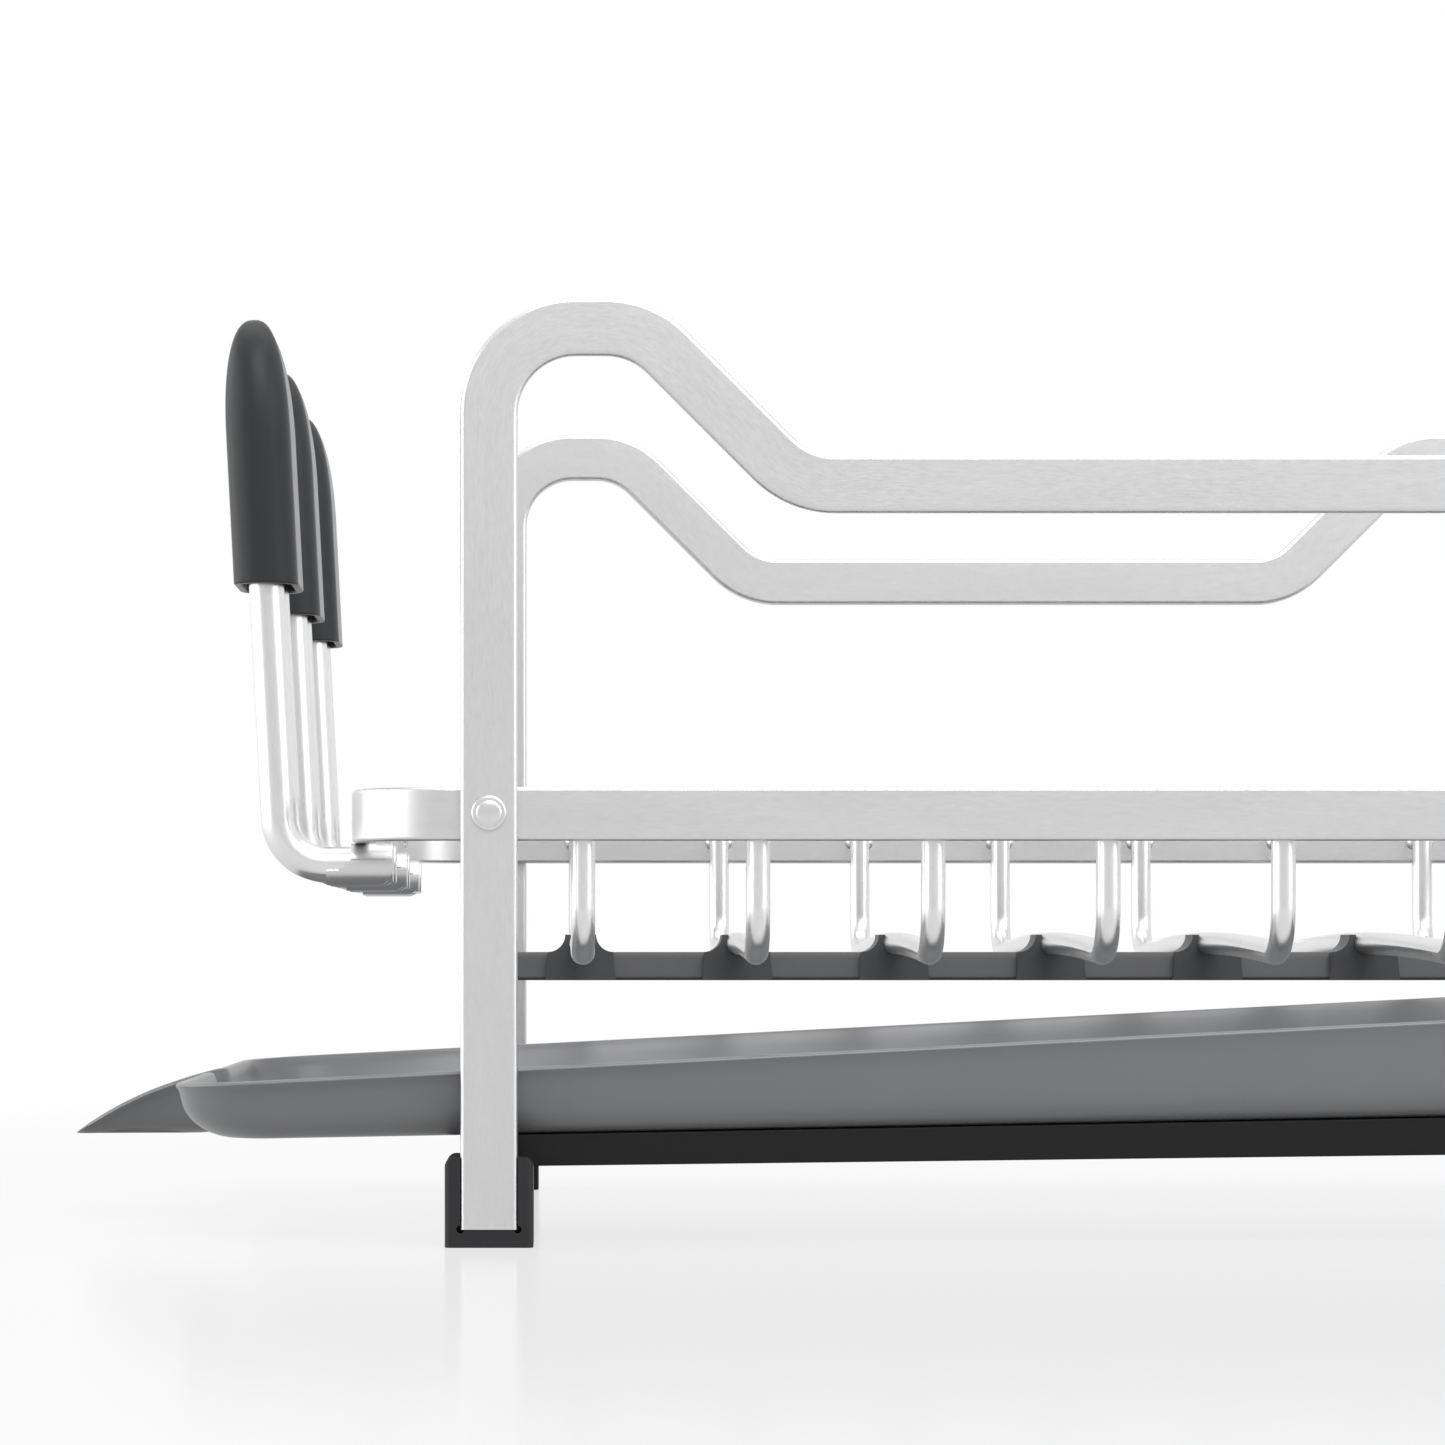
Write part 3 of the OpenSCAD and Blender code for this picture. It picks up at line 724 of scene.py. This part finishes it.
def domed_head(name, radius, height):
    """A rivet head with a rolled rim round a shallow dome. Its skirt reaches below z = 0, into the bar."""
    rim, inner, skirt = radius * 0.14, radius * 0.72, -0.35 * MM
    turn = arc(0, QUARTER, 6)
    roll = [(radius - rim + rim * c, height * 0.72 - rim + rim * s) for c, s in turn]
    dome = [(inner * c, height * (0.66 + 0.34 * s)) for c, s in turn[:-1]]
    return lathe(name, [(0, skirt), (radius, skirt), *roll, *dome, (0, height)])


class RACK_OT_rivets(Step, Operator):
    """The rivets that hold the rim to the arches and the sockets to the rim"""

    bl_idname = "rack.rivets"
    bl_label = "Rivets"

    def execute(self, context):
        size, bar = settings().basket, settings().arch.bar_thickness
        low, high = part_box("arch_rivets")
        z = (low.z + high.z) / 2
        inset = settings().arch.bar_width / 2
        places, backs = [], []
        for x in (ARCH_LOW.x + inset, ARCH_HIGH.x - inset):
            for side, face in ((-1, ARCH_LOW.y), (1, REAR_HIGH.y)):
                places.append((Vector((x, face, z)), (0, side, 0)))
                backs.append((Vector((x, face - side * 2 * bar, z)), (0, -side, 0)))
        head = domed_head("head", size.rivet_head / 2, size.rivet_height)
        tail = domed_head("tail", size.rivet_head * 0.45, MM)
        self.row("arch_rivet_heads", head, places, ["arch_rivets"])
        self.row("arch_rivet_tails", tail, backs, [])
        self.socket_rivets(bar)
        return {"FINISHED"}

    def row(self, name, piece, places, nodes):
        """Copies of a head or a tail at the places, standing for those nodes."""
        seat(smoothed(on_points(name, piece, places, "rivets"), sharp_degrees=50), "rack", nodes, "rivets")

    def socket_rivets(self, bar):
        """Small heads outside the rim's left end and their tails on the straps."""
        low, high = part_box("socket_rivets")
        radius, z, strap = (high.z - low.z) / 2, (low.z + high.z) / 2, 1.5 * MM
        half_row = (centre(HOOPS[-1]).y - centre(HOOPS[0]).y) / 2
        half_gap = (high.y - low.y) / 2 - radius - half_row
        outside, inside = [], []
        for node in HOOPS:
            for side in (-1, 1):
                y = centre(node).y + side * half_gap
                outside.append((Vector((RIM_LOW.x, y, z)), (-1, 0, 0)))
                inside.append((Vector((RIM_LOW.x + bar + strap, y, z)), (1, 0, 0)))
        head = domed_head("head", radius, settings().basket.small_head)
        tail = domed_head("tail", radius * 0.8, 0.8 * MM)
        self.row("socket_rivet_heads", head, outside, ["socket_rivets"])
        self.row("socket_rivet_tails", tail, inside, [])


class RACK_OT_mouldings(Step, Operator):
    """The wire rail, the boots, the tray rails and the hoop sockets"""

    bl_idname = "rack.mouldings"
    bl_label = "Rail, boots and sockets"

    def execute(self, context):
        softened_copy("wire_rail", "rack", "dark_plastic", 0.3, "rail_plastic")
        for node in named("foot"):
            softened_copy(node, "rack", "dark_plastic", 0.4)
        for node in named("tray_rail"):
            softened_copy(node, "rack", "black_plastic", 0.4)
        for node in named("hoop_socket"):
            softened_copy(node, "rack", "aluminium_bar", 0.15, "pressed")
        return {"FINISHED"}


class RACK_OT_hoops(Step, Operator):
    """The cup hoops and their soft grips"""

    bl_idname = "rack.hoops"
    bl_label = "Cup hoops"

    def execute(self, context):
        rod = settings().hoop.rod
        for index, node in enumerate(HOOPS, 1):
            section = (rod, rod, rod / 2)
            bent = swept(node + "_rod", self.rod_route(node), *section, "satin_rod", twist="MINIMUM")
            seat(smoothed(bent), f"hoop_{index}", [node], "satin_rod")
            self.grip(f"hoop_grip_{index}", f"hoop_{index}")
        return {"FINISHED"}

    def rod_route(self, node):
        """The rod's centre line, from one foot over the top to the other."""
        size = settings().hoop
        low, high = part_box(node)
        y, half = (low.y + high.y) / 2, size.gap / 2
        foot = low.z + size.rod / 2
        bend_x = high.x - size.arm
        up = Vector((-math.sin(size.lean), 0, math.cos(size.lean)))
        side = [Vector((high.x, -half, foot))]
        for c, s in arc(0, QUARTER - size.lean, 24):
            side.append(Vector((bend_x - size.bend * s, -half, foot + size.bend * (1 - c))))
        turn_z = high.z - size.rod / 2 - half * up.z
        top = side[-1] + up * (turn_z - side[-1].z) / up.z
        for c, s in arc(0, QUARTER, 12):
            side.append(top + up * half * s + Vector((0, half - half * c, 0)))
        other = [Vector((p.x, -p.y, p.z)) for p in reversed(side[:-1])]
        return [p + Vector((0, y, 0)) for p in side + other]

    def grip(self, node, body):
        """A soft sleeve with a blunt nose and an open recess at its hem."""
        size = settings().hoop
        low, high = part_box(node)
        y = (low.y + high.y) / 2
        depth = (high.y - low.y) / 2
        hem_x = high.x - size.grip_radius
        nose_z = high.z - size.grip_nose
        bm = bmesh.new()

        def ring(z, inset):
            """One ring at the height z, drawn in by inset."""
            t = min(max((z - nose_z) / size.grip_nose, 0.0), 1.0)
            close = (1 - t**size.grip_power) ** (1 / size.grip_power)
            wide = max(size.grip_radius * close - inset, 0.01 * MM)
            deep = max(depth * close - inset, 0.02 * MM)
            x = hem_x - (z - low.z) * math.tan(size.lean)
            half = [(wide * c, deep - wide + wide * s) for c, s in arc(0, math.pi, 24)]
            return [bm.verts.new((x + end * u, y + end * v, z)) for end in (1, -1) for u, v in half]

        edge, wall, recess, roof = size.grip_edge, size.grip_wall, size.grip_recess, 1.2 * MM
        rings = [ring(low.z + recess, wall + roof), ring(low.z + recess, wall)]
        rings += [ring(low.z + edge + (recess - edge) * k / 4, wall) for k in (3, 2, 1, 0)]
        for k in range(1, 9):
            a = math.pi * k / 8
            middle = wall - edge if k <= 4 else edge
            rings.append(ring(low.z + edge * (1 - math.sin(a)), middle + edge * math.cos(a)))
        rings += [ring(low.z + edge + (nose_z - low.z - edge) * k / 10, 0) for k in range(1, 11)]
        # Close together near the top, where the nose closes. The last ring stops just short of it.
        count = 32
        for k in range(1, count + 1):
            rings.append(ring(nose_z + size.grip_nose * math.sin(QUARTER * k / (count + 0.4)), 0))
        for a, b in zip(rings, rings[1:]):
            for k in range(len(a)):
                bm.faces.new((a[k], a[k - 1], b[k - 1], b[k]))
        bm.faces.new(rings[0])
        bm.faces.new(list(reversed(rings[-1])))
        bmesh.ops.remove_doubles(bm, verts=bm.verts, dist=WELD / 4)
        bmesh.ops.recalc_face_normals(bm, faces=bm.faces)
        sleeve = smoothed(from_bmesh(node + "_sleeve", bm), sharp_degrees=60)
        seat(sleeve, body, [node], "grip_rubber")


def smooth(f):
    """Goes gently from 0 to 1 as f does."""
    f = min(max(f, 0.0), 1.0)
    return f * f * (3 - 2 * f)


class RACK_OT_tray(Step, Operator):
    """The drip tray with its pouring spout"""

    bl_idname = "rack.tray"
    bl_label = "Drip tray"

    def execute(self, context):
        size = settings().tray
        self.left = MID_X - size.left + size.flange
        self.right = TRAY_HIGH.x - size.flange
        self.tip = TRAY_LOW.x + size.flange
        self.half = TRAY_HIGH.y - size.flange
        self.root = self.left + size.spout_inside
        self.outline = self.half_outline()
        rings = self.rings()
        bm = bmesh.new()
        chains = [[bm.verts.new(p) for p in self.around(*ring)] for ring in rings]
        for a, b in zip(chains, chains[1:]):
            for k in range(len(a)):
                bm.faces.new((a[k - 1], a[k], b[k], b[k - 1]))
        self.cover(bm, chains[0], rings[0][1])
        self.cover(bm, chains[-1], rings[-1][1])
        bmesh.ops.recalc_face_normals(bm, faces=bm.faces)
        tray = smoothed(from_bmesh("drip_tray_moulding", bm), sharp_degrees=60)
        seat(tray, "tray", ["drip_tray"], "grey_plastic")
        return {"FINISHED"}

    def half_outline(self):
        """Half of the top edge's outline, from the spout's tip to the right end, with y from 0 up.

        A point is (x, y, normal x, normal y, half width of the spout or None).
        """
        size = settings().tray
        tip_r = size.spout_tip / 2
        hub = self.tip + tip_r
        taper = math.atan((size.spout_root / 2 - tip_r) / (self.root - hub))
        points = []
        for c, s in arc(math.pi, QUARTER + taper, 8):
            points.append((hub + tip_r * c, tip_r * s, c, s, tip_r))
        start_x, start_y = points[-1][:2]
        fillet, turn = size.spout_fillet, QUARTER - taper
        reach = fillet * math.tan(turn / 2)
        meet_y = start_y + (self.left - start_x) * math.tan(taper)
        end_x = self.left - reach * math.cos(taper)
        end_y = meet_y - reach * math.sin(taper)
        count = 10
        for k in range(1, count + 1):
            x = start_x + (end_x - start_x) * k / count
            y = start_y + (end_y - start_y) * k / count
            points.append((x, y, -math.sin(taper), math.cos(taper), y))
        hub_x, hub_y = self.left - fillet, meet_y + reach
        for c, s in arc(-turn, 0, 6)[1:]:
            points.append((hub_x + fillet * c, hub_y + fillet * s, -c, -s, None))
        left_hub, right_hub = self.left + size.corner, self.right - size.corner
        self.walk(points, (self.left, hub_y), (self.left, self.half - size.corner), (-1, 0), 12)
        self.corner(points, left_hub, math.pi)
        self.walk(points, (left_hub, self.half), (right_hub, self.half), (0, 1), 60)
        self.corner(points, right_hub, QUARTER)
        self.walk(points, (self.right, self.half - size.corner), (self.right, 0), (1, 0), 16)
        return points

    def walk(self, points, start, end, normal, count):
        """Adds a straight stretch of the outline."""
        for k in range(1, count + 1):
            f = k / count
            spot = (start[0] + (end[0] - start[0]) * f, start[1] + (end[1] - start[1]) * f)
            points.append((*spot, *normal, None))

    def corner(self, points, hub_x, start):
        """Adds a quarter-round corner that starts at that angle and turns clockwise."""
        radius = settings().tray.corner
        hub_y = self.half - radius
        for c, s in arc(start, start - QUARTER, 14)[1:]:
            points.append((hub_x + radius * c, hub_y + radius * s, c, s, None))

    def bottom(self, x, y):
        """Height of the outer underside."""
        size = settings().tray
        bed = size.bed + (x - self.left) * math.tan(size.floor_slope)
        # The floor dips into the spout's channel over these lengths, along and across the tray.
        along, across, margin = 24 * MM, 14 * MM, MM
        into = smooth((self.root - 2 * margin - x) / along)
        into *= smooth((size.spout_root / 2 + margin - abs(y)) / across)
        out = (self.root - x) / (self.root - self.tip)
        channel = size.spout_bed + (TRAY_LOW.z - size.spout_bed) * out
        return bed + into * (channel - bed)

    def top(self, x):
        """Height of the top edge."""
        size = settings().tray
        if x >= self.left:
            return size.low + (x - self.left) * math.tan(size.top_slope)
        across = x - self.left - size.spout_curve * math.sin(size.spout_dive)
        hub_z = size.low - size.spout_curve * math.cos(size.spout_dive)
        return hub_z + math.sqrt(size.spout_curve**2 - across**2)

    def floor(self, x, y):
        """Height of the inner floor."""
        tall = self.top(x) - self.bottom(x, y)
        return self.bottom(x, y) + min(settings().tray.wall, 0.4 * tall)

    def drawn_in(self, height, tall, rounding, rise, draft):
        """How far a wall stands in from its top edge, at a height on it: a rounding, then a lean."""
        # Where the wall is low, its rounding and its lean shrink to fit.
        r, z, out = min(rounding, 1.1 * tall), min(rise, 0.95 * tall), min(draft, 0.25 * tall)
        a, b = z * (out + r), r * (tall - z)
        touch = math.acos(min(1.0, r * z / math.hypot(a, b))) - math.atan2(b, a)
        touch_in, touch_z = out + r - r * math.cos(touch), z - z * math.sin(touch)
        if height <= touch_z:
            return out + r - r * math.sqrt(max(0.0, 1 - (1 - height / z) ** 2))
        return touch_in * (tall - height) / (tall - touch_z)

    def rings(self):
        """(inset rule, height rule) from the underside over the lip to the floor."""
        size = settings().tray
        lip, full_wall = size.lip, 4 * MM

        def edge(x, y):
            """Share of the full lip that fits at that spot."""
            return min(1.0, (self.top(x) - self.bottom(x, y)) / full_wall)

        def wall(low, share, inner):
            """A ring on the outer or inner wall, at a share of its height."""
            rise = size.round_z - inner

            def inset(x, y, rounding, draft):
                tall = self.top(x) - low(x, y)
                up = share * (tall - lip * edge(x, y))
                return inner + self.drawn_in(up, tall, rounding - inner, rise, draft)

            def height(x, y):
                return low(x, y) + share * (self.top(x) - lip * edge(x, y) - low(x, y))

            return inset, height

        def brim(inset, drop):
            """A ring on the lip."""
            return (
                lambda x, y, rounding, draft: inset * edge(x, y),
                lambda x, y: self.top(x) - drop * edge(x, y),
            )

        # Close together near the floor, where the wall curves most.
        count = 11
        shares = [1 - math.cos(QUARTER * k / (count - 0.5)) for k in range(count)]
        roll = arc(0, QUARTER, 6)
        rings = [wall(self.bottom, share, 0.0) for share in shares]
        rings += [brim(lip * (1 - c) - size.flange, lip * (1 - s)) for c, s in roll]
        rings += [brim(size.wall - lip * (1 - s), lip * (1 - c)) for c, s in roll]
        rings += [wall(self.floor, share, size.wall) for share in reversed(shares)]
        return rings

    def around(self, inset, height):
        """The closed ring for those rules: the outline's half and its mirror image."""
        size = settings().tray
        ring = []
        for x, y, nx, ny, width in self.outline:
            if width is None:
                ix = inset(x, y, size.round_x, size.end_draft)
                iy = inset(x, y, size.round_y, size.draft)
            else:
                # The spout's walls stop short of its middle, so that its channel stays open.
                ix = iy = min(inset(x, y, size.round_y, size.draft), 0.62 * width)
            px, py = x - nx * ix, max(y - ny * iy, 0)
            ring.append((px, py, height(px, py)))
        mirrored = [(px, -py, pz) for px, py, pz in reversed(ring[1:-1])]
        return ring + mirrored

    def cover(self, bm, chain, height):
        """Closes a ring with rows of faces from one long side to the other."""
        rows, count = [], 24
        last = len(self.outline) - 1
        for k in range(last + 1):
            far = chain[k]
            near = chain[-k] if 0 < k < last else far
            row = [far]
            for m in range(1, count):
                spot = far.co.lerp(near.co, m / count)
                if 0 < k < last:
                    row.append(bm.verts.new((spot.x, spot.y, height(spot.x, spot.y))))
                else:
                    row.append(far)
            rows.append(row + [near])
        for a, b in zip(rows, rows[1:]):
            for m in range(count):
                corners = []
                for v in (a[m], a[m + 1], b[m + 1], b[m]):
                    if v not in corners:
                        corners.append(v)
                if len(corners) > 2:
                    bm.faces.new(corners)


# ---- Stage ----


def lamp(name, place, target, watts, width, height):
    """A soft rectangular light that faces the target. Lengths are in metres."""
    data = bpy.data.lights.new(name, "AREA")
    data.shape = "RECTANGLE"
    data.size, data.size_y = width, height
    data.energy = watts
    light = link(bpy.data.objects.new(name, data))
    light.location = place
    light.rotation_euler = (Vector(target) - Vector(place)).to_track_quat("-Z", "Y").to_euler()
    return light


def white_world():
    """Soft even light. The camera sees plain white, and metal sees white that dims towards the front."""
    world = bpy.data.worlds.new("White studio")
    bpy.context.scene.world = world
    world.use_nodes = True
    tree = world.node_tree
    tree.nodes.clear()
    rays = put(tree, "ShaderNodeLightPath").outputs
    way = put(tree, "ShaderNodeTexCoord")
    parts = put(tree, "ShaderNodeSeparateXYZ", {"Vector": way.outputs["Generated"]})
    dimming = {"From Min": -1.0, "From Max": -0.2, "To Min": 0.7, "To Max": 1.0}
    mirrored = put(tree, "ShaderNodeMapRange", {"Value": parts.outputs["Y"], **dimming})
    soft = 0.36
    other = put(tree, "ShaderNodeMix", {"Factor": rays["Is Glossy Ray"], "A": soft, "B": mirrored})
    strength = put(tree, "ShaderNodeMix", {"Factor": rays["Is Camera Ray"], "A": other, "B": 1.0})
    light = put(tree, "ShaderNodeBackground", {"Color": (1, 1, 1, 1), "Strength": strength})
    put(tree, "ShaderNodeOutputWorld", {"Surface": light})


def polished_worktop():
    """Polished pale worktop with a faint reflection, which fades into the white backdrop further away."""
    material, tree = empty_material("polished_worktop")
    values = {"Base Color": settings().finish.worktop, "Roughness": 0.16, "IOR": 1.5}
    shader = put(tree, "ShaderNodeBsdfPrincipled", values)
    place = put(tree, "ShaderNodeTexCoord")
    away = put(tree, "ShaderNodeVectorMath", {0: place.outputs["Object"]}, operation="LENGTH")
    # Metres from the middle of the rack, and the share of white there.
    fading = {"From Min": 0.35, "From Max": 0.95, "To Min": 0.7, "To Max": 1.0}
    far = put(tree, "ShaderNodeMapRange", {"Value": away, **fading}, interpolation_type="SMOOTHSTEP")
    rays = put(tree, "ShaderNodeLightPath").outputs
    either = {0: rays["Is Camera Ray"], 1: rays["Is Glossy Ray"]}
    seen = put(tree, "ShaderNodeMath", either, operation="MAXIMUM")
    share = put(tree, "ShaderNodeMath", {0: far, 1: seen}, operation="MULTIPLY")
    white = put(tree, "ShaderNodeEmission", {"Color": (1, 1, 1, 1), "Strength": 1.0})
    mixed = put(tree, "ShaderNodeMixShader", {0: share, 1: shader, 2: white})
    put(tree, "ShaderNodeOutputMaterial", {"Surface": mixed})
    return material


class RACK_OT_stage(Step, Operator):
    """The worktop, the light and the camera"""

    bl_idname = "rack.stage"
    bl_label = "Stage"

    def execute(self, context):
        size = settings().stage
        scene = context.scene
        scene.view_settings.view_transform = "Standard"
        bm = bmesh.new()
        bmesh.ops.create_grid(bm, x_segments=1, y_segments=1, size=size.floor / 2)
        floor = from_bmesh("worktop", bm)
        floor.data.materials.append(polished_worktop())
        white_world()
        lamp("Left light", (-1.7, -0.1, 0.5), (0, 0, 0.12), watts=20, width=2.4, height=1.2)
        lamp("Front light", (0.5, -1.7, 1.9), (0, 0, 0.1), watts=39, width=1.8, height=1.2)
        lamp("Right light", (1.6, -0.9, 0.7), (0, 0, 0.12), watts=10, width=1.2, height=1.0)
        lamp("Top light", (0, 0.2, 1.5), (0, 0, 0), watts=7, width=1.8, height=0.6)
        camera = link(bpy.data.objects.new("Camera", bpy.data.cameras.new("Camera")))
        camera.location = (MID_X - size.camera_left, ARCH_LOW.y - size.camera_back, size.camera_height)
        camera.rotation_euler = (QUARTER, 0, 0)
        camera.data.lens = size.lens
        camera.data.sensor_width = 36
        camera.data.shift_x = size.shift_x
        camera.data.shift_y = size.shift_y
        camera.data.clip_start = 0.05
        camera.data.clip_end = 50
        scene.camera = camera
        return {"FINISHED"}


STEPS = (
    RACK_OT_arches,
    RACK_OT_rim,
    RACK_OT_wires,
    RACK_OT_rivets,
    RACK_OT_mouldings,
    RACK_OT_tray,
    RACK_OT_hoops,
    RACK_OT_stage,
)
GROUPS = (ArchSizes, BasketSizes, HoopSizes, TraySizes, StageSizes, Finishes, RackSettings)


class RACK_PT_pieces(Panel):
    """Builds the rack piece by piece"""

    bl_idname = "RACK_PT_pieces"
    bl_label = "Dish Drying Rack"
    bl_space_type = "VIEW_3D"
    bl_region_type = "UI"
    bl_category = "Rack"

    def draw(self, context):
        for group in ("arch", "basket", "hoop", "tray", "stage", "finish"):
            values = getattr(context.scene.dish_rack, group)
            box = self.layout.box()
            box.label(text=group.capitalize())
            for name in values.__annotations__:
                box.prop(values, name)
        for step in STEPS:
            self.layout.operator(step.bl_idname)


def register():
    """Adds the rack's classes and settings."""
    for made in (*GROUPS, *STEPS, RACK_PT_pieces):
        bpy.utils.register_class(made)
    bpy.types.Scene.dish_rack = PointerProperty(type=RackSettings)


def unregister():
    """Takes the rack's classes and settings away."""
    del bpy.types.Scene.dish_rack
    for made in reversed((*GROUPS, *STEPS, RACK_PT_pieces)):
        bpy.utils.unregister_class(made)


def main():
    """Builds everything."""
    register()
    for step in STEPS:
        family, name = step.bl_idname.split(".")
        getattr(getattr(bpy.ops, family), name)()


if __name__ == "__main__":
    main()
